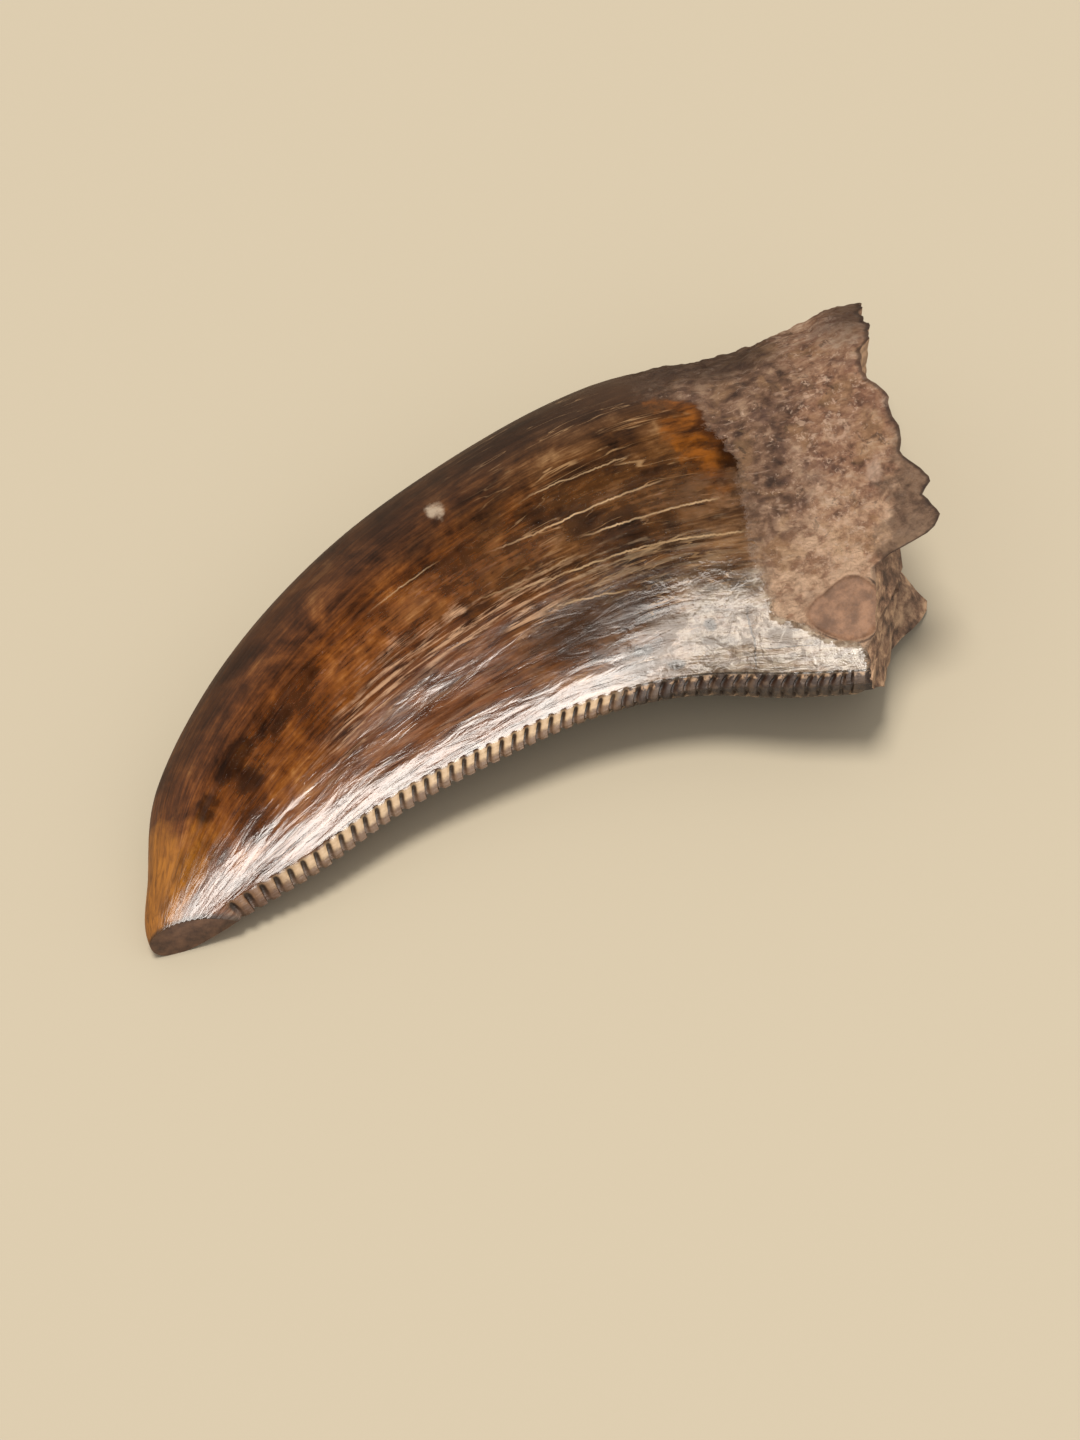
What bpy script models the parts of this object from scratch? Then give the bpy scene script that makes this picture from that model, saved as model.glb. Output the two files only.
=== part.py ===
"""Fossil tyrannosaur tooth: a curved, blade-like crown with the broken stub of its root, lying on one side.

The tooth grew as one piece, so it is one solid. Its skin is a loft of sections. Each section runs from
the serrated distal edge to the rounded mesial edge, and bulges up on the labial side and down on the
lingual one. +X runs from the tip to the broken base, +Y towards the convex mesial edge, and +Z up. Lengths
are in millimetres until the mesh is made in metres, with the origin at the bottom centre.

A section is named by t, its place in STATIONS, where a fraction lies between two of them. A point of a
section is named by xi, its place along the chord: -1 at the distal edge, +1 at the mesial edge.
"""

import math

import bmesh
import bpy
import numpy as np
from mathutils import Vector, noise

MM = 0.001
ORIGIN = np.array((18.44, 1.32, 0.0))  # the bottom centre of the bounding box, in the tooth's own millimetres

# Distal edge x, y, z, then mesial edge x, y, z, then how far the labial and the lingual side bulge.
# The first station is where the unworn tip would end, and the last lies past the broken base.
STATIONS = np.array([
    (-0.7, -0.9, 0.7, -0.7, -0.9, 0.7, 0.0, 0.0),
    (0.9, -1.1, 0.7, -0.4, 0.7, 0.7, 0.75, 0.8),
    (2.7, -0.95, 0.9, 0.65, 2.2, 1.0, 1.4, 1.05),
    (6.0, -1.2, 1.4, 3.1, 5.3, 1.5, 2.2, 1.4),
    (10.0, -1.1, 1.9, 8.0, 8.2, 2.0, 2.7, 1.9),
    (14.0, -1.5, 2.3, 14.0, 10.0, 2.5, 3.2, 2.6),
    (18.1, -2.3, 2.8, 20.5, 10.4, 3.0, 3.7, 3.1),
    (21.6, -3.8, 3.3, 26.2, 9.8, 3.4, 4.1, 3.5),
    (24.6, -6.2, 3.8, 32.0, 7.7, 3.8, 4.5, 3.95),
    (27.2, -8.0, 4.1, 37.3, 6.4, 4.1, 4.7, 4.25),
    (29.4, -9.4, 4.3, 42.0, 5.0, 4.3, 4.7, 4.45),
])
# How sharp each side is at the distal edge: 1 is a wedge and 0.5 is round, as the mesial edge is all along.
LABIAL_SHARPNESS, ROUND = 0.85, 0.5
LINGUAL_SHARPNESS_AT = ((5.0, 0.8), (7.6, 0.5))

# Shallow trough along the labial face, beside the serrated edge. Middle and half width are along the chord.
TROUGH_MIDDLE, TROUGH_HALF_WIDTH, TROUGH_DEPTH = -0.56, 0.17, 0.16
TROUGH_START, TROUGH_END, TROUGH_RAMP = 3.6, 7.0, 1.2

# Denticles of the distal edge, from the wear facet to the end of the enamel.
DENTICLES = 50
DENTICLES_START, DENTICLES_END = 2.08, 8.62
PITCH_TAPER = 0.76  # the last pitch over the first
GAP_HALF_WIDTH = 0.25  # in pitches
GAP_DEPTH_AT = ((2.0, 0.30), (5.5, 0.27), (6.9, 0.15), (8.7, 0.11))
BAND_WIDTH_AT = ((2.0, 0.75), (5.5, 0.60), (6.9, 0.42), (8.7, 0.36))  # how far up the flanks the gaps run

# The enamel ends in a ledge. Below it the root's dentine shows. Pairs of xi and t.
ENAMEL = 0.16
ENAMEL_RAMP = 0.26  # in t
LABIAL_ENAMEL_END = (
    (-1.0, 8.80), (-0.90, 8.66), (-0.86, 8.28), (-0.78, 8.10), (-0.73, 7.84), (-0.50, 7.80),
    (-0.20, 7.78), (0.05, 7.70), (0.20, 7.62), (0.42, 7.58), (0.52, 7.34), (0.80, 7.30), (1.0, 7.25),
)
LINGUAL_ENAMEL_END = (
    (-1.0, 8.80), (-0.85, 8.55), (-0.60, 8.05), (-0.30, 7.85), (0.10, 7.90), (0.45, 7.60), (0.80, 7.35),
    (1.0, 7.25),
)

# The broken rim of the root. Pairs of xi and t. The skin's rows of faces run through these corners.
LABIAL_RIM = (
    (-1.0, 8.85), (-0.90, 8.80), (-0.82, 8.90), (-0.73, 8.91), (-0.60, 8.90), (-0.56, 9.06), (-0.49, 9.58),
    (-0.44, 9.71), (-0.40, 9.62), (-0.34, 9.42), (-0.29, 9.58), (-0.21, 9.40), (-0.14, 9.21), (-0.05, 9.22),
    (0.04, 9.16), (0.13, 9.10), (0.22, 8.98), (0.30, 8.88), (0.38, 8.90), (0.44, 8.88), (0.50, 8.98),
    (0.62, 8.97), (0.74, 8.95), (0.84, 8.96), (0.91, 8.98), (0.96, 9.00), (0.99, 9.02), (1.0, 9.03),
)
LINGUAL_RIM = (
    (-1.0, 8.85), (-0.92, 9.04), (-0.82, 9.14), (-0.75, 9.12), (-0.68, 9.22), (-0.60, 9.22), (-0.52, 9.40),
    (-0.43, 9.64), (-0.34, 9.74), (-0.26, 9.74), (-0.19, 9.38), (-0.10, 9.16), (0.0, 9.10), (0.14, 9.16),
    (0.30, 9.06), (0.45, 9.12), (0.60, 9.00), (0.74, 8.96), (0.86, 9.00), (0.94, 8.98), (1.0, 9.03),
)
ROOT_LUMP, ROOT_LUMP_SIZE = 0.20, 3.0
SHOULDER_HEIGHT, SHOULDER_T, SHOULDER_REACH = 0.35, 8.75, 0.28  # bump on the mesial edge before the break

# Smooth hollow in the dentine beside the break, on the labial side: middle and half lengths in t and xi.
PATCH_T, PATCH_XI = 8.56, -0.74
PATCH_HALF_T, PATCH_HALF_XI = 0.42, 0.13
PATCH_DEPTH, PATCH_SLOPE = 0.14, 0.3

# The pulp cavity opens in the break, and tapers to a blind end. MOUTH holds pairs of xi and t.
RIM_T = 9.1  # where the last ring would be if the break were straight
MOUTH = ((-1.0, 9.08), (-0.82, 9.30), (-0.64, 9.26), (-0.50, 9.08), (-0.2, 9.05), (0.3, 8.94), (1.0, 8.80))
CAVITY_END_T = 8.0
MOUTH_CHORD, MOUTH_HEIGHT = 0.60, 0.37  # as shares of the section
CAVITY_CENTRE = 0.54  # along the chord
CAVITY_RINGS = (0.3, 0.6, 0.82, 0.95)
BREAK_MIDDLE = 0.6  # where the ring between the rim and the cavity's mouth lies
BREAK_LUMP, BREAK_LUMP_SIZE = 0.22, 1.5

# The tip is worn to a flat facet, which faces the distal side.
FACET_POINT = (1.2, -0.48, 0.84)
FACET_NORMAL = (-0.32, -0.93, 0.18)

FIRST_RING, TIP_RINGS, END_RINGS = 0.25, 7, 7
CUT_MERGE = 1e-4
SHARP_FROM = math.radians(50)


def stations_at(t):
    """The stations' numbers at t, on a Catmull-Rom curve through them."""
    last = len(STATIONS) - 1
    t = np.clip(t, 0, last - 1e-9)
    i = np.floor(t).astype(int)
    f = (t - i)[..., None]
    p1, p2 = STATIONS[i], STATIONS[i + 1]
    p0 = np.where((i == 0)[..., None], 2 * p1 - p2, STATIONS[np.maximum(i - 1, 0)])
    p3 = np.where((i + 2 > last)[..., None], 2 * p2 - p1, STATIONS[np.minimum(i + 2, last)])
    slope, bend, twist = p2 - p0, 2 * p0 - 5 * p1 + 4 * p2 - p3, 3 * p1 - p0 - 3 * p2 + p3
    return p1 + 0.5 * (slope * f + bend * f**2 + twist * f**3)


def curve_at(pairs, x):
    """A piecewise straight curve through pairs, read at x."""
    return np.interp(x, *zip(*pairs))


def smooth_step(x):
    x = np.clip(x, 0, 1)
    return x * x * (3 - 2 * x)


def bulge(xi, sharpness):
    """The height of a side over its chord, from 0 at both edges to 1 at its highest."""
    peak = (sharpness - ROUND) / (sharpness + ROUND)
    scale = (1 + peak) ** sharpness * (1 - peak) ** ROUND
    return np.clip(1 + xi, 0, None) ** sharpness * np.clip(1 - xi, 0, None) ** ROUND / scale


def plain_skin(t, xi, side):
    """A point of the tooth without its small forms. side is +1 on the labial side, -1 on the lingual one."""
    s = stations_at(t)
    along = ((xi + 1) / 2)[..., None]
    point = s[..., 0:3] * (1 - along) + s[..., 3:6] * along
    labial = s[..., 6] * bulge(xi, LABIAL_SHARPNESS)
    in_length = smooth_step((t - TROUGH_START) / TROUGH_RAMP) * smooth_step((TROUGH_END - t) / TROUGH_RAMP)
    labial -= TROUGH_DEPTH * in_length * np.exp(-(((xi - TROUGH_MIDDLE) / TROUGH_HALF_WIDTH) ** 2))
    lingual = s[..., 7] * bulge(xi, curve_at(LINGUAL_SHARPNESS_AT, t))
    point[..., 2] += np.where(side > 0, labial, -lingual)
    return point


def chord_of(t):
    """The length of the chord and the unit vector along it, from the mesial to the distal edge."""
    s = stations_at(t)
    across = s[..., 0:3] - s[..., 3:6]
    length = np.maximum(np.linalg.norm(across, axis=-1), 1e-6)
    return length, across / length[..., None]


def outward(t, xi, side):
    """The skin's unit normal."""
    dt, turn = 1e-3, 1e-2
    angle = np.clip(np.arccos(-xi), turn, math.pi - turn)
    du = plain_skin(t + dt, -np.cos(angle), side) - plain_skin(t - dt, -np.cos(angle), side)
    dv = plain_skin(t, -np.cos(angle + turn), side) - plain_skin(t, -np.cos(angle - turn), side)
    normal = np.cross(du, dv) * side[..., None]
    normal = normal / np.maximum(np.linalg.norm(normal, axis=-1, keepdims=True), 1e-12)
    return np.where((xi >= 1)[..., None], -chord_of(t)[1], normal)


def lumps(points, size):
    """Smooth noise from about -1 to 1 at each point, with lumps of this size in millimetres."""
    flat = points.reshape(-1, 3) / size
    found = [noise.noise(Vector(p)) + 0.5 * noise.noise(Vector(2.1 * p)) for p in flat]
    return np.array(found).reshape(points.shape[:-1])


def dentine_at(t, xi, side):
    """1 where the root's dentine shows, 0 under the enamel."""
    end = np.where(side > 0, curve_at(LABIAL_ENAMEL_END, xi), curve_at(LINGUAL_ENAMEL_END, xi))
    return smooth_step((t - end) / ENAMEL_RAMP + 0.5)


def relief(points, t, xi, side):
    """How far the skin stands out from plain_skin, in millimetres."""
    dentine = dentine_at(t, xi, side)
    reach = ((t - PATCH_T) / PATCH_HALF_T) ** 2 + ((xi - PATCH_XI) / PATCH_HALF_XI) ** 2
    patch = (side > 0) * smooth_step((1 - reach) / PATCH_SLOPE + 0.5)
    rough = ROOT_LUMP * lumps(points, ROOT_LUMP_SIZE) * (1 - patch)
    shoulder = SHOULDER_HEIGHT * np.exp(-(((t - SHOULDER_T) / SHOULDER_REACH) ** 2)) * smooth_step(xi * 2 - 1)
    return dentine * (rough - ENAMEL + shoulder) - PATCH_DEPTH * patch


def skin(t, xi, side):
    """Points of the tooth's outside, from the denticle band to the mesial edge."""
    points = plain_skin(t, xi, side)
    out = relief(points, t, xi, side)
    return points + out[..., None] * outward(t, xi, side)


def rim_at(xi, side):
    return np.where(side > 0, curve_at(LABIAL_RIM, xi), curve_at(LINGUAL_RIM, xi))


def towards_rim(t, xi, side):
    """t of a ring's point. Past the last denticle, the rings bend until the last one follows the rim."""
    past = np.maximum(t - DENTICLES_END, 0) / (RIM_T - DENTICLES_END)
    return np.where(past > 0, DENTICLES_END + past * (rim_at(xi, side) - DENTICLES_END), t)


def denticle_joints():
    """t at each gap between denticles, whose pitch shrinks evenly along the distal edge."""
    t = np.linspace(DENTICLES_START, DENTICLES_END, 400)
    steps = np.linalg.norm(np.diff(stations_at(t)[:, 0:3], axis=0), axis=1)
    run = np.concatenate(([0], np.cumsum(steps)))
    k = np.arange(DENTICLES + 1) / DENTICLES
    share = (k - (1 - PITCH_TAPER) * k**2 / 2) / (1 - (1 - PITCH_TAPER) / 2)
    return np.interp(share * run[-1], run, t)


def band_end(t):
    """xi where the denticle band ends, up either flank."""
    length, _ = chord_of(t)
    return np.minimum(-1 + 2 * curve_at(BAND_WIDTH_AT, t) / length, 0)


def ring_places(t):
    """xi and side of the points of a ring, from the edge of the denticle band over the labial side to the
    mesial edge, and back along the lingual side. The rows end in the rim's corners."""
    at_rim, here = band_end(np.float64(RIM_T)), band_end(t)
    labial = [at_rim, *(xi for xi, _ in LABIAL_RIM[1:])]
    lingual = [*(xi for xi, _ in LINGUAL_RIM[-2:0:-1]), at_rim]
    share = (np.array(labial + lingual) - at_rim) / (1 - at_rim)
    side = np.concatenate((np.ones(len(labial)), -np.ones(len(lingual))))
    return here + (1 - here) * share, side


def ring(t):
    """The points of a ring outside the denticle band."""
    xi, side = ring_places(t)
    return skin(towards_rim(t, xi, side), xi, side)


def band_point(t, share, side, gap):
    """A point of the denticle band. share runs from 0 on the distal edge to 1 at the band's end on one side,
    and gap is 1 in the middle of a gap and 0 on a denticle."""
    length, towards_edge = chord_of(t)
    xi = -1 + share * (band_end(t) + 1)
    cut = gap * curve_at(GAP_DEPTH_AT, t) * (1 - share)
    return plain_skin(towards_rim(t, xi, side), xi, side) - cut * towards_edge


def cavity_ring(depth):
    """The points of a ring of the pulp cavity, at a depth from 0 at its mouth to 1 at its blind end. The ring
    starts on the distal side and runs like the outer ones."""
    xi, side = ring_places(np.float64(RIM_T))
    half = band_end(np.float64(RIM_T)) / 2 - 0.5
    xi, side = np.concatenate(([-1, half], xi, [half])), np.concatenate(([1, 1], side, [-1]))
    mouth = curve_at(MOUTH, xi)
    t = mouth + (CAVITY_END_T - mouth) * depth
    s = stations_at(t)
    along = ((xi + 1) / 2)[:, None]
    chord = s[:, 0:3] * (1 - along) + s[:, 3:6] * along
    middle = s[:, 0:3] * (1 - CAVITY_CENTRE) + s[:, 3:6] * CAVITY_CENTRE
    narrowing = math.sqrt(1 - depth**2)
    height = plain_skin(t, xi, side) - chord
    return middle + narrowing * (MOUTH_CHORD * (chord - middle) + MOUTH_HEIGHT * height)


def add_ring(bm, points):
    return [bm.verts.new(p) for p in points]


def join_rings(bm, a, b):
    """A closed band of faces between two rings."""
    for i in range(len(a)):
        j = (i + 1) % len(a)
        bm.faces.new((a[i], b[i], b[j], a[j]))


def close_ring(bm, ring_of_verts, point):
    pole = bm.verts.new(point)
    for i in range(len(ring_of_verts)):
        bm.faces.new((pole, ring_of_verts[i], ring_of_verts[(i + 1) % len(ring_of_verts)]))


def add_outside(bm):
    """The skin from the tip to the broken rim. Returns the vertices of the last ring."""
    joints = denticle_joints()
    tip = np.linspace(FIRST_RING, joints[0], TIP_RINGS + 1)[:-1]
    end = np.linspace(joints[-1], RIM_T, END_RINGS + 1)[1:]
    places = np.concatenate((tip, joints, end))
    in_gap = np.isin(places, joints)
    serrated = range(len(tip), len(tip) + DENTICLES)

    rings = [add_ring(bm, ring(t)) for t in places]
    edge = add_ring(bm, [band_point(t, 0.0, 1, gap) for t, gap in zip(places, in_gap)])
    flank = {}
    for side in (1, -1):
        flank[side] = add_ring(bm, [band_point(t, 0.5, side, gap) for t, gap in zip(places, in_gap)])

    def row_between(row, k, share, side):
        """The row's vertices from ring k to the next, with the two shoulders of the denticle there."""
        if k not in serrated:
            return [row[k], row[k + 1]]
        pitch = places[k + 1] - places[k]
        shoulders = (places[k] + GAP_HALF_WIDTH * pitch, places[k + 1] - GAP_HALF_WIDTH * pitch)
        return [row[k], *add_ring(bm, [band_point(t, share, side, 0) for t in shoulders]), row[k + 1]]

    for k in range(len(places) - 1):
        a, b = rings[k], rings[k + 1]
        for i in range(len(a) - 1):
            bm.faces.new((a[i], b[i], b[i + 1], a[i + 1]))
        crest = row_between(edge, k, 0.0, 1)
        for side, end_of_ring in ((1, 0), (-1, -1)):
            middle = row_between(flank[side], k, 0.5, side)
            faces = [(crest[j], crest[j + 1], middle[j + 1], middle[j]) for j in range(len(crest) - 1)]
            faces.append((*middle, b[end_of_ring], a[end_of_ring]))
            for face in faces:
                bm.faces.new(face[::side])

    whole = [[edge[k], flank[1][k], *rings[k], flank[-1][k]] for k in (0, -1)]
    close_ring(bm, whole[0], STATIONS[0, 0:3])
    return whole[1]


def add_cavity(bm, rim):
    """The broken face and the pulp cavity inside it."""
    rim_points = np.array([v.co for v in rim])
    mouth_points = cavity_ring(0.0)
    middle = rim_points + BREAK_MIDDLE * (mouth_points - rim_points)
    middle[:, 0] += BREAK_LUMP * lumps(middle, BREAK_LUMP_SIZE)
    last = rim
    for points in (middle, mouth_points, *(cavity_ring(depth) for depth in CAVITY_RINGS)):
        ring_of_verts = add_ring(bm, points)
        join_rings(bm, last, ring_of_verts)
        last = ring_of_verts
    close_ring(bm, last, cavity_ring(1.0).mean(axis=0))


def cut_flat(bm, point, normal):
    """Removes what lies past a plane, and closes the cut with flat faces."""
    everything = [*bm.verts, *bm.edges, *bm.faces]
    cut = bmesh.ops.bisect_plane(
        bm, geom=everything, dist=CUT_MERGE, plane_co=point, plane_no=normal, clear_outer=True
    )
    edges = [e for e in cut["geom_cut"] if isinstance(e, bmesh.types.BMEdge)]
    bmesh.ops.edgeloop_fill(bm, edges=edges)


def tooth_mesh():
    bm = bmesh.new()
    add_cavity(bm, add_outside(bm))
    cut_flat(bm, FACET_POINT, FACET_NORMAL)
    cut_flat(bm, (0, 0, 0), (0, 0, -1))
    bmesh.ops.recalc_face_normals(bm, faces=bm.faces)
    for vert in bm.verts:
        vert.co = (vert.co - Vector(ORIGIN)) * MM
    mesh = bpy.data.meshes.new("tooth")
    bm.to_mesh(mesh)
    bm.free()
    mesh.shade_smooth()
    mesh.set_sharp_from_angle(angle=SHARP_FROM)
    return mesh


def tooth_material():
    """Glossy dark brown, as fossil enamel is."""
    made = bpy.data.materials.new("fossil enamel")
    made.use_nodes = True
    shader = made.node_tree.nodes["Principled BSDF"]
    shader.inputs["Base Color"].default_value = (0.12, 0.045, 0.015, 1)
    shader.inputs["Roughness"].default_value = 0.3
    shader.inputs["Metallic"].default_value = 0
    return made


def clear_scene():
    for found in list(bpy.data.objects):
        bpy.data.objects.remove(found, do_unlink=True)


def main():
    clear_scene()
    tooth = bpy.data.objects.new("tooth", tooth_mesh())
    tooth.data.materials.append(tooth_material())
    bpy.context.scene.collection.objects.link(tooth)


main()
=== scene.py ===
"""The looks of a fossil tyrannosaur tooth, which lies on one side.

The CAD node is replaced by a finer skin of the same shape. As in the CAD source, t is a section's place in
STATIONS, and xi is a point's place along the section's chord: -1 at the distal, serrated edge and +1 at the
mesial edge. turn goes round a section: from 0 at the distal edge, over the labial side, to 1 at the mesial
edge, and over the lingual side to 2. Lengths are in millimetres until the mesh is made in metres.
"""

import math

import bmesh
import bpy
import numpy as np
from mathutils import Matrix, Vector, noise


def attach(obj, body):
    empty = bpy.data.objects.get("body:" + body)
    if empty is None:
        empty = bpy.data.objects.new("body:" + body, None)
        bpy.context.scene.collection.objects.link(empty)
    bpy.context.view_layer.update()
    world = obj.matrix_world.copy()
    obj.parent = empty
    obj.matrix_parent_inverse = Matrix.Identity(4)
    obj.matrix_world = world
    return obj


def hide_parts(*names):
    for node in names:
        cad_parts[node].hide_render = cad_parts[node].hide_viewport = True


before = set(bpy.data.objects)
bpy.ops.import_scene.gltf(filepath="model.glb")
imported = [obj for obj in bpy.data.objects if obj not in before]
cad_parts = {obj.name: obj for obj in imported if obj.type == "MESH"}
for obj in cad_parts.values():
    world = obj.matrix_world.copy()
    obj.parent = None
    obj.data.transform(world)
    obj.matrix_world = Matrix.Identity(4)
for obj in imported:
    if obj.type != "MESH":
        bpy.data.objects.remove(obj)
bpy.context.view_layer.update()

MM = 0.001
ORIGIN = np.array((18.44, 1.32, 0.0))  # the bounding box's bottom centre, in the tooth's own millimetres

# ---- The tooth's form ----
# The values are the CAD source's. Only BAND_WIDTH_AT, PATCH_SLOPE and the first points of LABIAL_ENAMEL_END
# are closer to the photograph than there.

# Distal edge x, y, z, then mesial edge x, y, z, then how far the labial and the lingual side bulge.
STATIONS = np.array([
    (-0.7, -0.9, 0.7, -0.7, -0.9, 0.7, 0.0, 0.0),
    (0.9, -1.1, 0.7, -0.4, 0.7, 0.7, 0.75, 0.8),
    (2.7, -0.95, 0.9, 0.65, 2.2, 1.0, 1.4, 1.05),
    (6.0, -1.2, 1.4, 3.1, 5.3, 1.5, 2.2, 1.4),
    (10.0, -1.1, 1.9, 8.0, 8.2, 2.0, 2.7, 1.9),
    (14.0, -1.5, 2.3, 14.0, 10.0, 2.5, 3.2, 2.6),
    (18.1, -2.3, 2.8, 20.5, 10.4, 3.0, 3.7, 3.1),
    (21.6, -3.8, 3.3, 26.2, 9.8, 3.4, 4.1, 3.5),
    (24.6, -6.2, 3.8, 32.0, 7.7, 3.8, 4.5, 3.95),
    (27.2, -8.0, 4.1, 37.3, 6.4, 4.1, 4.7, 4.25),
    (29.4, -9.4, 4.3, 42.0, 5.0, 4.3, 4.7, 4.45),
])
LABIAL_SHARPNESS, ROUND = 0.85, 0.5
LINGUAL_SHARPNESS_AT = ((5.0, 0.8), (7.6, 0.5))

TROUGH_MIDDLE, TROUGH_HALF_WIDTH, TROUGH_DEPTH = -0.56, 0.17, 0.16
TROUGH_START, TROUGH_END, TROUGH_RAMP = 3.6, 7.0, 1.2

DENTICLES = 50
DENTICLES_START, DENTICLES_END = 2.08, 8.62
PITCH_TAPER = 0.76
GAP_DEPTH_AT = ((2.0, 0.30), (5.5, 0.27), (6.9, 0.15), (8.7, 0.11))
BAND_WIDTH_AT = ((2.0, 0.62), (5.5, 0.50), (6.9, 0.38), (8.7, 0.33))

ENAMEL = 0.16
LABIAL_ENAMEL_END = (
    (-1.0, 8.80), (-0.90, 8.77), (-0.865, 8.66), (-0.84, 8.34), (-0.78, 8.12), (-0.73, 7.84), (-0.50, 7.80),
    (-0.20, 7.78), (0.05, 7.70), (0.20, 7.62), (0.42, 7.58), (0.52, 7.34), (0.80, 7.30), (1.0, 7.25),
)
LINGUAL_ENAMEL_END = (
    (-1.0, 8.80), (-0.85, 8.55), (-0.60, 8.05), (-0.30, 7.85), (0.10, 7.90), (0.45, 7.60), (0.80, 7.35),
    (1.0, 7.25),
)

LABIAL_RIM = (
    (-1.0, 8.85), (-0.90, 8.80), (-0.82, 8.90), (-0.73, 8.91), (-0.60, 8.90), (-0.56, 9.06), (-0.49, 9.58),
    (-0.44, 9.71), (-0.40, 9.62), (-0.34, 9.42), (-0.29, 9.58), (-0.21, 9.40), (-0.14, 9.21), (-0.05, 9.22),
    (0.04, 9.16), (0.13, 9.10), (0.22, 8.98), (0.30, 8.88), (0.38, 8.90), (0.44, 8.88), (0.50, 8.98),
    (0.62, 8.97), (0.74, 8.95), (0.84, 8.96), (0.91, 8.98), (0.96, 9.00), (0.99, 9.02), (1.0, 9.03),
)
LINGUAL_RIM = (
    (-1.0, 8.85), (-0.92, 9.04), (-0.82, 9.14), (-0.75, 9.12), (-0.68, 9.22), (-0.60, 9.22), (-0.52, 9.40),
    (-0.43, 9.64), (-0.34, 9.74), (-0.26, 9.74), (-0.19, 9.38), (-0.10, 9.16), (0.0, 9.10), (0.14, 9.16),
    (0.30, 9.06), (0.45, 9.12), (0.60, 9.00), (0.74, 8.96), (0.86, 9.00), (0.94, 8.98), (1.0, 9.03),
)
RIM_T = 9.1
ROOT_LUMP, ROOT_LUMP_SIZE = 0.20, 3.0
SHOULDER_HEIGHT, SHOULDER_T, SHOULDER_REACH = 0.35, 8.75, 0.28

PATCH_T, PATCH_XI = 8.56, -0.74
PATCH_HALF_T, PATCH_HALF_XI = 0.42, 0.13
PATCH_DEPTH, PATCH_SLOPE = 0.14, 0.6

MOUTH = ((-1.0, 9.08), (-0.82, 9.30), (-0.64, 9.26), (-0.50, 9.08), (-0.2, 9.05), (0.3, 8.94), (1.0, 8.80))
CAVITY_END_T = 8.0
MOUTH_CHORD, MOUTH_HEIGHT = 0.60, 0.37
CAVITY_CENTRE = 0.54
BREAK_LUMP, BREAK_LUMP_SIZE = 0.22, 1.5

FACET_POINT = (1.2, -0.48, 0.84)
FACET_NORMAL = (-0.32, -0.93, 0.18)

# ---- Finer forms, which only the looks have ----

# A denticle's profile along the edge, in pitches from the middle of a gap.
GAP_FLAT, GAP_HALF_WIDTH = 0.08, 0.24
DENTICLE_PHASES = (0.0, 0.08, 0.16, 0.26, 0.5, 0.74, 0.84, 0.92)
GAP_GROOVE = 0.13  # how deep a gap runs on as a groove up the flank
GAP_AT_EDGE = 0.5  # the share of a gap's depth that it has on the very edge
DENTICLE_LEAN = 0.065  # t by which a gap leans to the base, up the flank
LEAN_FADES, LEAN_RAMP = 0.5, 0.3  # the chord's share where the lean fades, and t over which it sets in
GAP_SHADE = 3  # how fast the dark of a gap sets in from the band's end

LEDGE_RAMP_AT = ((0.3, 0.05), (0.8, 0.6))  # xi, and how long the ledge is there, in t
LEDGE_WANDER, LEDGE_WANDER_SIZE = 0.05, 0.7
RIM_WANDER, RIM_WANDER_SIZE = 0.05, 0.5
ROOT_KNOB, ROOT_KNOB_SIZE = 0.09, 1.2
ROOT_GRAIN, ROOT_GRAIN_SIZE = 0.09, 0.5
ENAMEL_WAVE, ENAMEL_WAVE_TURN, ENAMEL_WAVE_T = 0.018, 0.05, 1.1
ENAMEL_WAVE_START, ENAMEL_WAVE_RAMP = 1, 2
PATCH_TAIL, PATCH_WANDER, PATCH_WANDER_SIZE = 0.5, 0.22, 1.3
BREAK_GRAIN, BREAK_GRAIN_SIZE = 0.10, 0.4

FIRST_RING, TIP_RINGS, END_RINGS = 0.25, 22, 36
BAND_ROWS, LABIAL_ROWS, LINGUAL_ROWS = 7, 118, 46
BREAK_RINGS, CAVITY_RINGS = 14, 10
CUT_MERGE = 1e-4
SHARP_FROM = math.radians(55)
FLANK_XI = -0.999  # just off the distal edge, where the flank has a normal

# What the skin's fields hold at most.
PAST_LIMIT = 0.6
OFF_PATCH = 9.0  # the hollow's field on the lingual side, which is far from it
BLIND_END_DEPTH = 2

LABIAL_SIZE = 15.0  # millimetres from edge to edge over the labial side, for the patterns' scale
T_SIZE = 4.4  # millimetres of crown for one step of t


def stations_at(t):
    """The stations' numbers at t, on a Catmull-Rom curve through them."""
    last = len(STATIONS) - 1
    t = np.clip(t, 0, last - 1e-9)
    i = np.floor(t).astype(int)
    f = (t - i)[..., None]
    p1, p2 = STATIONS[i], STATIONS[i + 1]
    p0 = np.where((i == 0)[..., None], 2 * p1 - p2, STATIONS[np.maximum(i - 1, 0)])
    p3 = np.where((i + 2 > last)[..., None], 2 * p2 - p1, STATIONS[np.minimum(i + 2, last)])
    slope, bend, twist = p2 - p0, 2 * p0 - 5 * p1 + 4 * p2 - p3, 3 * p1 - p0 - 3 * p2 + p3
    return p1 + 0.5 * (slope * f + bend * f**2 + twist * f**3)


def curve_at(pairs, x):
    """A piecewise straight curve through pairs, read at x."""
    return np.interp(x, *zip(*pairs))


def smooth_step(x):
    x = np.clip(x, 0, 1)
    return x * x * (3 - 2 * x)


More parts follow.
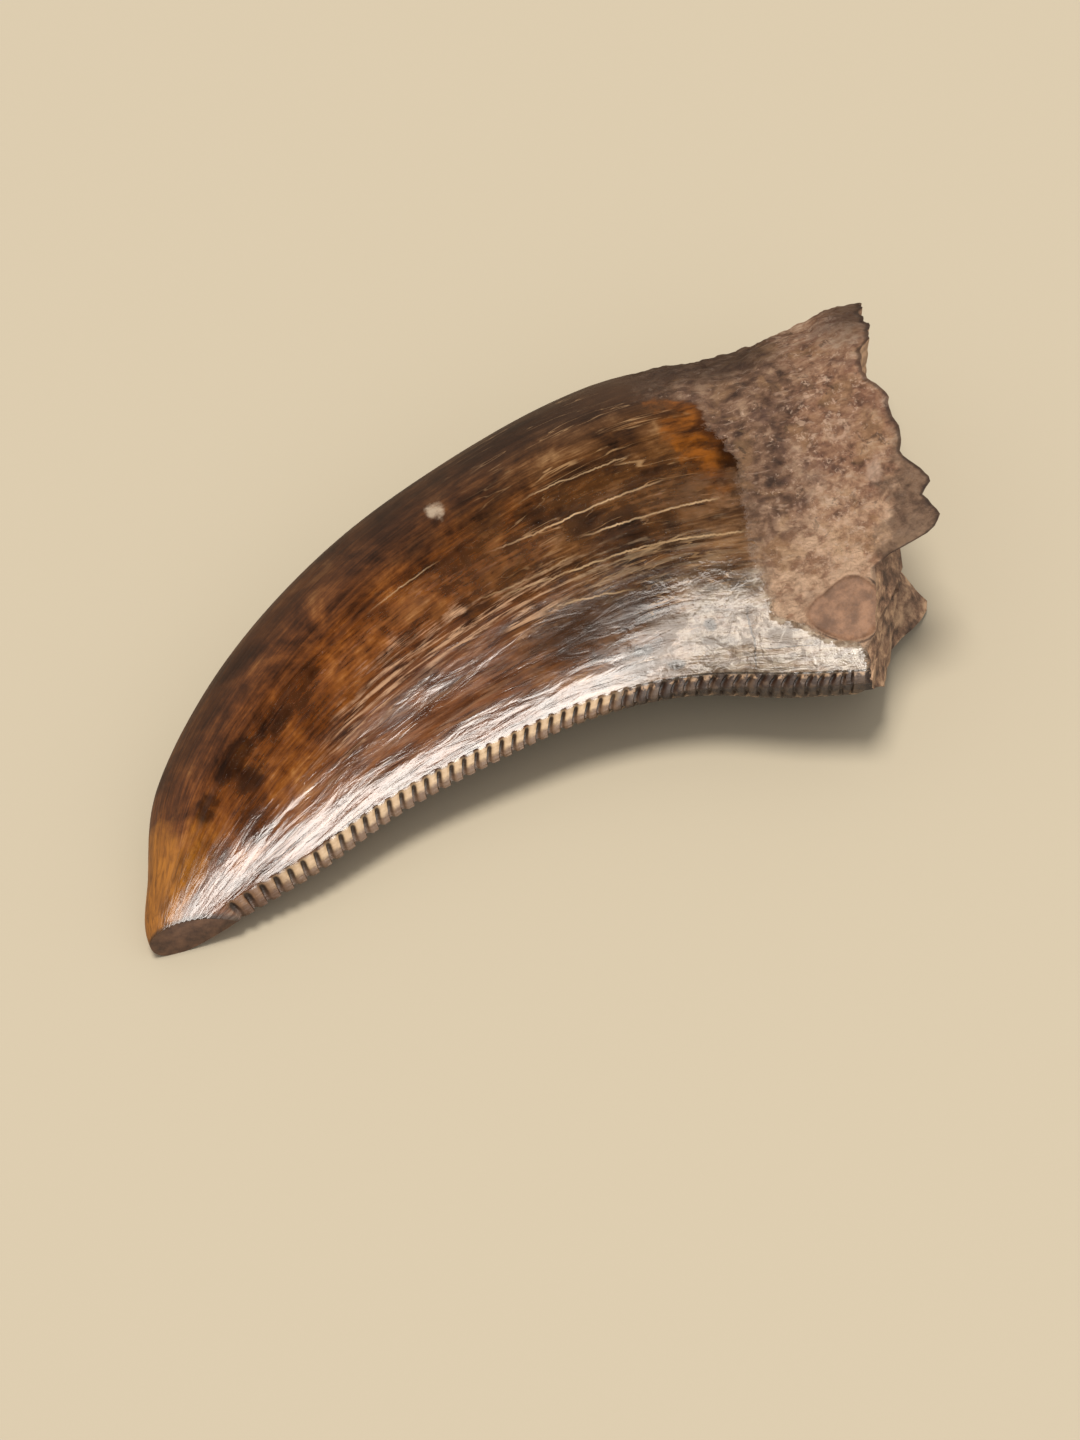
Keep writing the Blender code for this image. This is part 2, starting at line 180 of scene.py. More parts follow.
def bulge(xi, sharpness):
    """The height of a side over its chord, from 0 at both edges to 1 at its highest."""
    peak = (sharpness - ROUND) / (sharpness + ROUND)
    scale = (1 + peak) ** sharpness * (1 - peak) ** ROUND
    return np.clip(1 + xi, 0, None) ** sharpness * np.clip(1 - xi, 0, None) ** ROUND / scale


def plain_skin(t, xi, side):
    """A point of the tooth without its small forms. side is +1 on the labial side, -1 on the lingual one."""
    s = stations_at(t)
    along = ((xi + 1) / 2)[..., None]
    point = s[..., 0:3] * (1 - along) + s[..., 3:6] * along
    labial = s[..., 6] * bulge(xi, LABIAL_SHARPNESS)
    in_length = smooth_step((t - TROUGH_START) / TROUGH_RAMP) * smooth_step((TROUGH_END - t) / TROUGH_RAMP)
    labial -= TROUGH_DEPTH * in_length * np.exp(-(((xi - TROUGH_MIDDLE) / TROUGH_HALF_WIDTH) ** 2))
    lingual = s[..., 7] * bulge(xi, curve_at(LINGUAL_SHARPNESS_AT, t))
    point[..., 2] += np.where(side > 0, labial, -lingual)
    return point


def chord_of(t):
    """The length of the chord and the unit vector along it, from the mesial to the distal edge."""
    s = stations_at(t)
    across = s[..., 0:3] - s[..., 3:6]
    length = np.maximum(np.linalg.norm(across, axis=-1), 1e-6)
    return length, across / length[..., None]


def outward(t, xi, side):
    """The skin's unit normal."""
    dt, turn = 1e-3, 1e-2
    angle = np.clip(np.arccos(-xi), turn, math.pi - turn)
    du = plain_skin(t + dt, -np.cos(angle), side) - plain_skin(t - dt, -np.cos(angle), side)
    dv = plain_skin(t, -np.cos(angle + turn), side) - plain_skin(t, -np.cos(angle - turn), side)
    normal = np.cross(du, dv) * side[..., None]
    normal = normal / np.maximum(np.linalg.norm(normal, axis=-1, keepdims=True), 1e-12)
    return np.where((xi >= 1)[..., None], -chord_of(t)[1], normal)


def lumps(points, size):
    """Smooth noise from about -1 to 1 at each point, with lumps of this size."""
    flat = points.reshape(-1, 3) / size
    found = [noise.noise(Vector(p)) + 0.5 * noise.noise(Vector(2.1 * p)) for p in flat]
    return np.array(found).reshape(points.shape[:-1])


def turn_of(xi, side):
    """How far round the section a point is."""
    half = np.arccos(np.clip(-xi, -1, 1)) / math.pi
    return np.where(side > 0, half, 2 - half)


def past_enamel(points, t, xi, side):
    """By how much t is past the enamel's end, which wanders a little."""
    end = np.where(side > 0, curve_at(LABIAL_ENAMEL_END, xi), curve_at(LINGUAL_ENAMEL_END, xi))
    return t - end - LEDGE_WANDER * lumps(points, LEDGE_WANDER_SIZE)


def patch_reach(points, t, xi):
    """0 in the middle of the smooth hollow beside the break, and 1 on its outline.

    It narrows towards the tip.
    """
    along, across = (t - PATCH_T) / PATCH_HALF_T, (xi - PATCH_XI) / PATCH_HALF_XI
    narrowing = 1 + PATCH_TAIL * np.clip(-along, 0, None)
    round_it = along**2 + (across * narrowing) ** 2
    return round_it + PATCH_WANDER * lumps(points, PATCH_WANDER_SIZE)


def relief(points, t, xi, side, dentine, reach):
    """How far the skin stands out from plain_skin."""
    patch = (side > 0) * smooth_step((1 - reach) / PATCH_SLOPE + 0.5)
    rough = ROOT_LUMP * lumps(points, ROOT_LUMP_SIZE) + ROOT_KNOB * lumps(points, ROOT_KNOB_SIZE)
    rough += ROOT_GRAIN * lumps(points, ROOT_GRAIN_SIZE)
    shoulder = SHOULDER_HEIGHT * np.exp(-(((t - SHOULDER_T) / SHOULDER_REACH) ** 2))
    shoulder = shoulder * smooth_step(xi * 2 - 1)
    turn = turn_of(xi, side)
    wave_place = np.stack((t / ENAMEL_WAVE_T, turn / ENAMEL_WAVE_TURN, np.zeros_like(t)), axis=-1)
    wave = ENAMEL_WAVE * lumps(wave_place, 1.0) * smooth_step((t - ENAMEL_WAVE_START) / ENAMEL_WAVE_RAMP)
    on_root = rough * (1 - patch) - ENAMEL + shoulder
    return dentine * on_root + (1 - dentine) * wave - PATCH_DEPTH * patch


def rim_at(xi, side):
    """t of the broken rim, which is a little ragged."""
    rim = np.where(side > 0, curve_at(LABIAL_RIM, xi), curve_at(LINGUAL_RIM, xi))
    place = np.stack((turn_of(xi, side) * LABIAL_SIZE, np.zeros_like(rim), np.zeros_like(rim)), axis=-1)
    return rim + RIM_WANDER * lumps(place, RIM_WANDER_SIZE)


def denticle_joints():
    """t at each gap between denticles, whose pitch shrinks evenly along the distal edge."""
    t = np.linspace(DENTICLES_START, DENTICLES_END, 400)
    steps = np.linalg.norm(np.diff(stations_at(t)[:, 0:3], axis=0), axis=1)
    run = np.concatenate(([0], np.cumsum(steps)))
    k = np.arange(DENTICLES + 1) / DENTICLES
    share = (k - (1 - PITCH_TAPER) * k**2 / 2) / (1 - (1 - PITCH_TAPER) / 2)
    return np.interp(share * run[-1], run, t)


def band_end(t):
    """xi where the denticle band ends, up either flank."""
    return np.minimum(-1 + 2 * curve_at(BAND_WIDTH_AT, t) / chord_of(t)[0], 0)


def ring_places():
    """t of each ring, and how deep in a gap between denticles it runs, from 0 to 1."""
    joints = denticle_joints()
    pitches = np.arange(DENTICLES)[:, None] + np.array(DENTICLE_PHASES)[None, :]
    pitches = np.append(pitches.ravel(), DENTICLES)
    serrated = np.interp(pitches, np.arange(DENTICLES + 1), joints)
    from_gap = np.abs(pitches - np.round(pitches))
    gap = smooth_step((GAP_HALF_WIDTH - from_gap) / (GAP_HALF_WIDTH - GAP_FLAT))
    tip = np.linspace(FIRST_RING, joints[0], TIP_RINGS + 1)[:-1]
    end = np.linspace(joints[-1], RIM_T, END_RINGS + 1)[1:]
    places = np.concatenate((tip, serrated, end))
    gaps = np.concatenate((np.zeros(TIP_RINGS), gap, np.zeros(END_RINGS)))
    return places, gaps


def skin_grid(places):
    """t, xi, side and band of every point of the skin, a row for each ring.

    A ring starts on the distal edge and runs over the labial side to the mesial edge, and back. band is 1 on
    the distal edge and 0 outside the denticle band.
    """
    start = band_end(places)[:, None]
    share = np.arange(BAND_ROWS)[None, :] / BAND_ROWS
    band_xi = -1 + share * (start + 1)
    band = np.repeat(1 - share, len(places), axis=0)

    def flank(rows):
        low = np.arccos(-start)
        angle = low + (math.pi - low) * np.arange(rows + 1)[None, :] / rows
        return -np.cos(angle)

    labial, lingual = flank(LABIAL_ROWS), flank(LINGUAL_ROWS)[:, -2::-1]
    xi = np.concatenate((band_xi, labial, lingual, band_xi[:, :0:-1]), axis=1)
    bands = np.concatenate((band, 0 * labial, 0 * lingual, band[:, :0:-1]), axis=1)
    side = np.ones(xi.shape)
    side[:, BAND_ROWS + LABIAL_ROWS + 1:] = -1
    t = np.repeat(places[:, None], xi.shape[1], axis=1)
    return t, xi, side, bands


def lean_of(t, xi):
    """By how much t shifts towards the base, so that the gaps lean."""
    from_edge = (xi + 1) / (band_end(t) + 1)
    rise = smooth_step(from_edge)
    fade = smooth_step((LEAN_FADES - 1 - xi) / LEAN_FADES)
    in_row = smooth_step((t - DENTICLES_START) / LEAN_RAMP) * smooth_step((DENTICLES_END - t) / LEAN_RAMP)
    return DENTICLE_LEAN * rise * fade * in_row


def towards_rim(t, xi, side):
    """t of a ring's point. Past the last denticle, the rings bend until the last one follows the rim."""
    past = np.maximum(t - DENTICLES_END, 0) / (RIM_T - DENTICLES_END)
    return np.where(past > 0, DENTICLES_END + past * (rim_at(xi, side) - DENTICLES_END), t)


def skin():
    """The skin's points, ring by ring, what its material reads at each, and the last ring's xi and side."""
    places, gaps = ring_places()
    t, xi, side, band = skin_grid(places)
    t = towards_rim(t + lean_of(t, xi), xi, side)
    points = plain_skin(t, xi, side)
    past = past_enamel(points, t, xi, side)
    dentine = smooth_step(past / curve_at(LEDGE_RAMP_AT, xi) + 0.5)
    gap = gaps[:, None] * np.ones(t.shape)

    normal = outward(t, np.clip(xi, FLANK_XI, 1), side)
    reach = patch_reach(points, t, xi)
    out = relief(points, t, xi, side, dentine, reach) * (1 - band)
    groove = GAP_GROOVE * gap * np.sin(math.pi * np.clip(band, 0, 1))
    cut = gap * curve_at(GAP_DEPTH_AT, t) * band * GAP_AT_EDGE
    points = points + (out - groove)[..., None] * normal - cut[..., None] * chord_of(t)[1]
    fields = {
        "t": t,
        "turn": turn_of(xi, side),
        "past": np.clip(past, -PAST_LIMIT, PAST_LIMIT),
        "gap": gap * smooth_step(band * GAP_SHADE),
        "reach": (xi + 1) / (band_end(t) + 1),
        "patch": np.where(side > 0, reach, OFF_PATCH),
        "to_rim": np.clip(rim_at(xi, side) - t, 0, 1),
    }
    return points, fields, xi[-1], side[-1]


def cavity_points(xi, side, depth):
    """A ring of the pulp cavity, at a depth from 0 at its mouth to 1 at its blind end."""
    mouth = curve_at(MOUTH, xi)
    t = mouth + (CAVITY_END_T - mouth) * depth
    s = stations_at(t)
    along = ((xi + 1) / 2)[:, None]
    chord = s[:, 0:3] * (1 - along) + s[:, 3:6] * along
    middle = s[:, 0:3] * (1 - CAVITY_CENTRE) + s[:, 3:6] * CAVITY_CENTRE
    narrowing = math.sqrt(1 - depth**2)
    height = plain_skin(t, xi, side) - chord
    return middle + narrowing * (MOUTH_CHORD * (chord - middle) + MOUTH_HEIGHT * height)


def break_rings(rim, xi, side):
    """The broken face from the rim to the cavity's mouth, and the cavity."""
    mouth = cavity_points(xi, side, 0.0)
    rings = []
    for k in range(1, BREAK_RINGS + 1):
        share = k / BREAK_RINGS
        ring = rim + share * (mouth - rim)
        swell = math.sin(math.pi * share)
        ring[:, 0] += swell * BREAK_LUMP * lumps(ring, BREAK_LUMP_SIZE)
        ring[:, 0] += swell * BREAK_GRAIN * lumps(ring, BREAK_GRAIN_SIZE)
        rings.append(ring)
    for k in range(1, CAVITY_RINGS):
        rings.append(cavity_points(xi, side, k / CAVITY_RINGS))
    return np.array(rings)


def ring_faces(first, rings, around):
    """Quads between rings of vertices that are numbered from first on."""
    i, j = np.meshgrid(np.arange(rings - 1), np.arange(around), indexing="ij")
    a = first + i * around + j
    b = first + i * around + (j + 1) % around
    return np.stack((a, a + around, b + around, b), axis=-1).reshape(-1, 4).tolist()


SKIN, BREAK, FACET = range(3)  # the tooth's material slots


def cut_flat(bm, point, normal, slot):
    """Removes what lies past a plane, and closes the cut with flat faces."""
    everything = [*bm.verts, *bm.edges, *bm.faces]
    cut = bmesh.ops.bisect_plane(
        bm, geom=everything, dist=CUT_MERGE, plane_co=point, plane_no=normal, clear_outer=True
    )
    edges = [e for e in cut["geom_cut"] if isinstance(e, bmesh.types.BMEdge)]
    filled = bmesh.ops.edgeloop_fill(bm, edges=edges, mat_nr=slot)
    for face in filled["faces"]:
        face.smooth = False


def tooth_mesh():
    points, fields, xi, side = skin()
    rings, around = points.shape[:2]
    inner = break_rings(points[-1], xi, side)
    tip, blind_end = STATIONS[0, 0:3], inner[-1].mean(axis=0)
    vertices = np.concatenate((points.reshape(-1, 3), inner.reshape(-1, 3), [tip, blind_end]))

    faces = ring_faces(0, rings + len(inner), around)
    tip_vertex, end_vertex = len(vertices) - 2, len(vertices) - 1
    last = (rings + len(inner) - 1) * around
    for j in range(around):
        k = (j + 1) % around
        faces.append((tip_vertex, j, k))
        faces.append((last + j, end_vertex, last + k))

    mesh = bpy.data.meshes.new("tooth_skin")
    mesh.from_pydata(vertices.tolist(), [], faces)
    slots = np.zeros(len(faces), np.int32)
    slots[(rings - 1) * around:(rings + len(inner) - 1) * around] = BREAK
    slots[-1:-2 * around:-2] = BREAK  # the cavity's blind end, whose faces alternate with the tip's
    mesh.polygons.foreach_set("material_index", slots)
    extra = len(vertices) - rings * around
    for name, values in fields.items():
        field = mesh.attributes.new(name, "FLOAT", "POINT")
        field.data.foreach_set("value", np.append(values.ravel(), np.zeros(extra)).astype(np.float32))
    depth = np.zeros(len(vertices), np.float32)
    depth[rings * around:-2] = np.repeat(np.arange(1, len(inner) + 1) / BREAK_RINGS, around)
    depth[-1] = BLIND_END_DEPTH
    mesh.attributes.new("depth", "FLOAT", "POINT").data.foreach_set("value", depth)

    bm = bmesh.new()
    bm.from_mesh(mesh)
    for face in bm.faces:
        face.smooth = True
    cut_flat(bm, FACET_POINT, FACET_NORMAL, FACET)
    cut_flat(bm, (0, 0, 0), (0, 0, -1), SKIN)
    bmesh.ops.recalc_face_normals(bm, faces=bm.faces)
    for vert in bm.verts:
        vert.co = (vert.co - Vector(ORIGIN)) * MM
    bm.to_mesh(mesh)
    bm.free()
    mesh.set_sharp_from_angle(angle=SHARP_FROM)
    return mesh


# ---- Materials ----


def paint(red, green, blue):
    """A colour in screen values from 0 to 255, as the linear colour that the shader takes."""
    linear = [((c / 255 + 0.055) / 1.055) ** 2.4 if c > 10 else c / 255 / 12.92 for c in (red, green, blue)]
    return (*linear, 1.0)


class Paintbox:
    """Short calls that build a material's nodes. A value is a number, a colour or another node's output."""

    def __init__(self, name):
        self.material = bpy.data.materials.new(name)
        self.material.use_nodes = True
        self.nodes = self.material.node_tree.nodes
        self.links = self.material.node_tree.links

    def plug(self, value, socket):
        if isinstance(value, bpy.types.NodeSocket):
            self.links.new(value, socket)
        else:
            socket.default_value = value

    def material_with(self, inputs):
        """The material, once its shader has these inputs."""
        shader = self.nodes["Principled BSDF"]
        for name, value in inputs.items():
            self.plug(value, shader.inputs[name])
        return self.material

    def node(self, kind, inputs=(), **settings):
        made = self.nodes.new("ShaderNode" + kind)
        for name, value in settings.items():
            setattr(made, name, value)
        for key, value in dict(inputs).items():
            self.plug(value, made.inputs[key])
        return made

    def field(self, name):
        return self.node("Attribute", attribute_name=name).outputs["Fac"]

    def place(self):
        """Object coordinates, in millimetres."""
        here = self.node("TexCoord").outputs["Object"]
        return self.node("VectorMath", {0: here, 3: 1 / MM}, operation="SCALE").outputs[0]

    def vector(self, x, y):
        return self.node("CombineXYZ", {0: x, 1: y}).outputs[0]

    def math(self, operation, a, b=0.0):
        return self.node("Math", {0: a, 1: b}, operation=operation).outputs[0]

    def plus(self, a, b):
        return self.math("ADD", a, b)

    def minus(self, a, b):
        return self.math("SUBTRACT", a, b)

    def times(self, a, b):
        return self.math("MULTIPLY", a, b)

    def over(self, a, b):
        return self.math("DIVIDE", a, b)

    def off(self, value, middle):
        """How far a value is from middle."""
        return self.math("ABSOLUTE", self.minus(value, middle))

    def noise(self, vector, scale, detail=3.0, roughness=0.55, distortion=0.0):
        inputs = {"Vector": vector, "Scale": scale, "Detail": detail, "Roughness": roughness,
                  "Distortion": distortion}
        return self.node("TexNoise", inputs).outputs["Fac"]

    def between(self, value, low, high, start=0.0, end=1.0):
        """Goes smoothly from start to end as value goes from low to high."""
        inputs = {"Value": value, "From Min": low, "From Max": high, "To Min": start, "To Max": end}
        return self.node("MapRange", inputs, interpolation_type="SMOOTHSTEP").outputs["Result"]

    def ramp(self, share, places, colours):
        """A linear colour at each place from 0 to 1, blended between them."""
        made = self.node("ValToRGB", {"Fac": share})
        stops = made.color_ramp.elements
        while len(stops) < len(places):
            stops.new(1.0)
        for stop, place, colour in zip(stops, places, colours):
            stop.position = place
            stop.color = colour
        return made.outputs["Color"]

    def tones(self, share, places, tones):
        """A colour in screen values at each place from 0 to 1, blended between them."""
        return self.ramp(share, places, [paint(*tone) for tone in tones])

    def mix(self, share, a, b):
        """Colour a where share is 0 and b where it is 1. A colour is an output, or three screen values."""
        a, b = (paint(*colour) if isinstance(colour, tuple) else colour for colour in (a, b))
        return self.node("Mix", {0: share, 6: a, 7: b}, data_type="RGBA").outputs[2]

    def stain(self, colour, mask, share, tone):
        """The colour, with this share of tone where mask is 1."""
        return self.mix(self.times(mask, share), colour, tone)

    def mix_numbers(self, share, a, b):
        return self.node("Mix", {0: share, 2: a, 3: b}, data_type="FLOAT").outputs[0]

    def most(self, masks):
        found = masks[0]
        for mask in masks[1:]:
            found = self.math("MAXIMUM", found, mask)
        return found

    def curve(self, value, points):
        """A smooth curve through points from 0 to 1 both ways."""
        made = self.node("FloatCurve", {"Value": value})
        curve = made.mapping.curves[0]
        while len(curve.points) < len(points):
            curve.points.new(0.5, 0.5)
        for point, (x, y) in zip(curve.points, points):
            point.location = (x, y)
        made.mapping.update()
        return made.outputs[0]

    def zone(self, value, stops):
        """A number from 0 to 1 along value, straight between stops of a value and the number there."""
        low, high = stops[0][0], stops[-1][0]
        share = self.node("MapRange", {"Value": value, "From Min": low, "From Max": high}).outputs["Result"]
        places = [(place - low) / (high - low) for place, _ in stops]
        return self.ramp(share, places, [(n, n, n, 1) for _, n in stops])

    def bump(self, height, distance, under=None):
        inputs = {"Height": height, "Distance": distance * MM}
        if under is not None:
            inputs["Normal"] = under
        return self.node("Bump", inputs).outputs["Normal"]


# Numbers that change along the tooth or round it: t (or turn, where it says so) and the number there.
LEDGE_SOFTNESS_AT = (  # by turn
    (0.26, 0.03), (0.34, 0.14), (0.46, 0.10), (0.50, 0.03), (0.60, 0.03), (0.68, 0.22), (1.2, 0.22),
    (1.4, 0.04),
)
# The pale film, in part a painted sheen: its width and its strength along the tooth.
FILM_AND_SHEEN_WIDTH_AT = ((1.0, 0.22), (2.4, 0.16), (4.5, 0.10), (6.0, 0.10), (6.6, 0.18), (7.1, 0.28), (8.6, 0.30))
FILM_AND_SHEEN_STRENGTH_AT = ((1.0, 0.66), (2.4, 0.6), (6.0, 0.5), (7.2, 0.5), (8.6, 0.62))
CREST_TURN_AT = ((3.2, 0.32), (4.6, 0.42), (6.8, 0.36))
CREST_HIGHLIGHT_STRENGTH_AT = ((3.2, 0), (4.2, 0.9), (5.8, 1), (6.6, 0.45), (7.8, 0.2))
RUSSET_STRENGTH_AT = ((2.6, 0), (3.4, 1), (5.0, 1), (6.0, 0))
SHADE_STRENGTH_AT = ((6.4, 0), (7.2, 0.8), (8.0, 0.75), (8.5, 0.0))

# Colours in screen values, from dark to light, and the steps of noise that they are at.
ENAMEL_STEPS = (0.38, 0.46, 0.52, 0.58, 0.68)
ENAMEL_AT_TIP = ((36, 17, 6), (72, 37, 12), (98, 52, 15), (126, 72, 24), (164, 112, 58))
ENAMEL_AT_BASE = ((30, 18, 10), (58, 35, 18), (76, 47, 22), (98, 64, 34), (144, 108, 70))
ROOT_STEPS = (0.36, 0.46, 0.52, 0.58, 0.68)
ROOT_AT_ENAMEL = ((74, 49, 35), (108, 76, 56), (132, 96, 72), (154, 117, 91), (190, 154, 124))
ROOT_AT_BREAK = ((104, 69, 50), (151, 108, 82), (178, 133, 102), (197, 154, 122), (222, 188, 160))
BREAK_STEPS = (0.34, 0.46, 0.58)
BREAK_TONES = ((84, 60, 45), (150, 114, 88), (206, 168, 134))
FACET_STEPS = (0.35, 0.65)
FACET_TONES = ((70, 45, 31), (112, 78, 55))
EDGE_BROWN = (58, 38, 27)

# Pale cracks along the labial side: how strong each is, and its points in t and xi.
CRACKS = (
    (0.6, ((6.00, 0.20), (6.33, 0.20), (6.57, 0.18), (7.05, 0.18))),
    (0.9, ((5.63, 0.04), (5.93, -0.01), (6.63, -0.03), (7.22, -0.02))),
    (0.95, ((6.32, -0.16), (6.89, -0.18), (7.23, -0.18), (7.59, -0.17))),
    (0.75, ((5.53, -0.23), (6.10, -0.30), (6.82, -0.33), (7.16, -0.34))),
    (0.9, ((6.82, -0.33), (7.49, -0.35), (7.73, -0.35))),
    (0.7, ((5.84, -0.42), (6.53, -0.50), (6.71, -0.52))),
    (0.6, ((5.40, -0.18), (5.89, -0.24), (6.34, -0.23))),
    (0.5, ((6.66, -0.38), (7.30, -0.31))),
    (0.5, ((4.70, 0.18), (5.40, 0.16))),
)
CRACK_WIDTH, CRACK_WANDER = 0.0024, 0.012  # in turns, either side of the line
CRACK_START, CRACK_END = 0.3, 0.2  # t over which a crack fades in and out
CURVE_T = 10.0  # the t at the end of a crack's curve node

# Two dark cracks near the denticles: one across the crown's base, measured in t, and one along it, in turns.
SPLIT_T, SPLIT_TURNS, SPLIT_WIDTH, SPLIT_WANDER = 7.6, (0.10, 0.27), 0.016, 0.15
SEAM_TURN, SEAM_TS, SEAM_WIDTH, SEAM_WANDER = 0.172, (7.62, 8.25), 0.0022, 0.012

LINE_CORE = 0.2  # the share of a line's width that has its full strength
LINE_FADE = 0.2  # the share of a dark crack's length over which each end fades

# Spots: t and turn of the middle, and half the size both ways.
DARK_SPOTS = (
    (3.30, 0.57, 0.20, 0.035),
    (3.27, 0.50, 0.16, 0.030),
    (2.82, 0.57, 0.14, 0.035),
    (3.75, 0.52, 0.12, 0.016),
    (7.66, 0.515, 0.07, 0.030),
    (7.75, 0.485, 0.09, 0.022),
)
CHIPS = (
    (6.59, 0.205, 0.10, 0.014),
    (6.84, 0.150, 0.09, 0.014),
    (7.24, 0.230, 0.05, 0.012),
)
PALE_SPOT = (5.55, 0.668, 0.045, 0.026)
DIM_SPOT = (6.2, 0.305, 0.5, 0.045)
ROOT_FLECK = (8.93, 0.435, 0.08, 0.020)
RUST_SPOT, RUST_SLANT = (7.50, 0.575, 0.21, 0.11), 1.05

ENAMEL_IOR = 1.6


class Skin:
    """What the skin's colours and relief are drawn from."""

    def __init__(self, box):
        self.box = box
        self.t, self.turn = box.field("t"), box.field("turn")
        self.past, self.patch, self.to_rim = box.field("past"), box.field("patch"), box.field("to_rim")
        self.gap, self.reach = box.field("gap"), box.field("reach")
        self.place = box.place()
        self.along = box.times(self.t, T_SIZE)
        self.around = box.times(self.turn, LABIAL_SIZE)
        self.strands = self.fibres(0.4, 3.0, 7.0, 0.7, 0.5)
        self.drift = box.minus(box.noise(self.place, 0.9, 4.0, 0.62), 0.5)
        self.crumbs = box.minus(box.noise(self.place, 3.2, 5.0, 0.7), 0.5)
        self.wander = box.times(box.plus(self.drift, self.crumbs), 3.0)
        self.dim = self.spot(DIM_SPOT, self.wander, 0.9)
        softness = box.zone(self.turn, LEDGE_SOFTNESS_AT)
        self.dentine = box.between(box.over(self.crumbled(self.past, 0.22), softness), -1.0, 1.0)

    def fibres(self, long, across, detail=6.0, roughness=0.62, distortion=0.0):
        """Noise drawn out along the tooth, with this many waves in a millimetre both ways."""
        vector = self.box.vector(self.box.times(self.along, long), self.box.times(self.around, across))
        return self.box.noise(vector, 1.0, detail, roughness, distortion)

    def drifted(self, value, share):
        """The value with a share of the wide noise, so that an outline drawn from it wanders."""
        return self.box.plus(value, self.box.times(self.drift, share))

    def crumbled(self, value, share):
        """The value with a share of the fine noise, so that an outline drawn from it is ragged."""
        return self.box.plus(value, self.box.times(self.crumbs, share))

    def spot(self, place, wander, edge=0.7, slant=0.0):
        """1 in an oval of the skin and 0 outside it. slant is how far t moves for a turn."""
        box = self.box
        middle_t, middle_turn, half_t, half_turn = place
        from_turn = box.minus(self.turn, middle_turn)
        t = box.plus(self.t, box.times(from_turn, slant)) if slant else self.t
        across, up = box.over(box.minus(t, middle_t), half_t), box.over(from_turn, half_turn)
        reach = box.plus(box.times(across, across), box.times(up, up))
        return box.between(box.plus(reach, wander), 1 + edge, 1 - edge)


def crack_mask(box, skin, strength, points):
    """A pale crack's strength on its line, and 0 off it."""
    places = [(t / CURVE_T, float(turn_of(np.float64(xi), 1))) for t, xi in points]
    wander = box.times(box.noise(box.vector(skin.t, 0.0), 9.0, 3.0, 0.7), CRACK_WANDER)
    line = box.plus(box.curve(box.over(skin.t, CURVE_T), places), wander)
    away = box.off(skin.turn, box.minus(line, CRACK_WANDER / 2))
    on_line = box.between(away, CRACK_WIDTH, CRACK_WIDTH * LINE_CORE)
    low, high = points[0][0], points[-1][0]
    rise = box.between(skin.t, low, low + CRACK_START)
    fall = box.between(skin.t, high, high - CRACK_END, 0.0, strength)
    return box.times(on_line, box.times(rise, fall))


def line_mask(box, value, middle, wander, width, along, ends):
    """1 where value is at middle, for along between its ends. wander moves the line."""
    on_line = box.between(box.off(value, box.plus(wander, middle)), width, width * LINE_CORE)
    low, high = ends
    fade = (high - low) * LINE_FADE
    inside = box.times(box.between(along, low, low + fade), box.between(along, high, high - fade))
    return box.times(on_line, inside)


def enamel_colour(box, skin):
    """Brown in long fibres and soft blotches: more orange towards the tip, and dark on the mesial side."""
    blotch = box.noise(skin.place, 0.5, 6.0, 0.64, 0.3)
    hairs = skin.fibres(0.8, 9.0, 4.0, 0.7, 0.3)
    tone = box.plus(box.times(blotch, 0.56), box.times(skin.strands, 0.34))
    tone = box.minus(box.plus(tone, box.times(hairs, 0.24)), 0.07)
    at_tip, at_base = (box.tones(tone, ENAMEL_STEPS, tones) for tones in (ENAMEL_AT_TIP, ENAMEL_AT_BASE))
    colour = box.mix(box.between(skin.drifted(skin.t, 3.0), 4.2, 6.8), at_tip, at_base)

    mesial = box.between(skin.drifted(box.off(skin.turn, 0.88), 0.2), 0.30, 0.12)
    mesial = box.times(mesial, box.between(skin.t, 2.2, 3.4))
    colour = box.stain(colour, mesial, 0.72, (42, 24, 11))

    lines = box.between(box.off(skin.fibres(0.16, 1.5, 3.0, 0.6, 0.3), 0.5), 0.010, 0.002)
    where = box.times(box.between(skin.t, 5.4, 6.4), box.between(box.noise(skin.place, 0.6), 0.42, 0.6))
    colour = box.stain(colour, box.times(lines, where), 0.5, (176, 140, 98))

    to_root = box.between(skin.drifted(skin.t, 1.2), 6.9, 7.8)
    to_root = box.times(to_root, box.between(skin.turn, 0.52, 0.44))
    brown = box.mix(box.between(skin.strands, 0.38, 0.62), (56, 37, 23), (122, 89, 60))
    return box.stain(colour, to_root, 0.7, brown)


def russet_and_crest_highlight(box, skin, colour):
    """Russet enamel between the denticles and the labial side's crest, and pale streaks: a painted highlight
    on the crest, and fainter ones below it.
    """
    away = skin.drifted(box.minus(skin.turn, box.zone(skin.t, CREST_TURN_AT)), 0.16)
    below = box.times(box.between(away, 0.06, -0.04), box.between(skin.turn, 0.14, 0.22))
    below = box.times(below, box.zone(skin.t, RUSSET_STRENGTH_AT))
    russet = box.mix(box.between(skin.strands, 0.36, 0.64), (66, 35, 20), (124, 78, 50))
    colour = box.stain(colour, below, 0.6, russet)

    # Pale streaks on the crest: a painted highlight.
    crest = box.between(box.math("ABSOLUTE", away), 0.065, 0.01)
    crest = box.times(crest, box.zone(skin.t, CREST_HIGHLIGHT_STRENGTH_AT))
    streaks = box.between(skin.fibres(0.45, 7.5, 5.0, 0.7, 0.4), 0.47, 0.62)
    streaks = box.times(box.most([crest, box.times(below, 0.25)]), streaks)
    pale = box.mix(box.between(skin.t, 5.6, 6.6), (196, 156, 122), (178, 152, 120))
    return box.stain(colour, streaks, 0.8, pale)


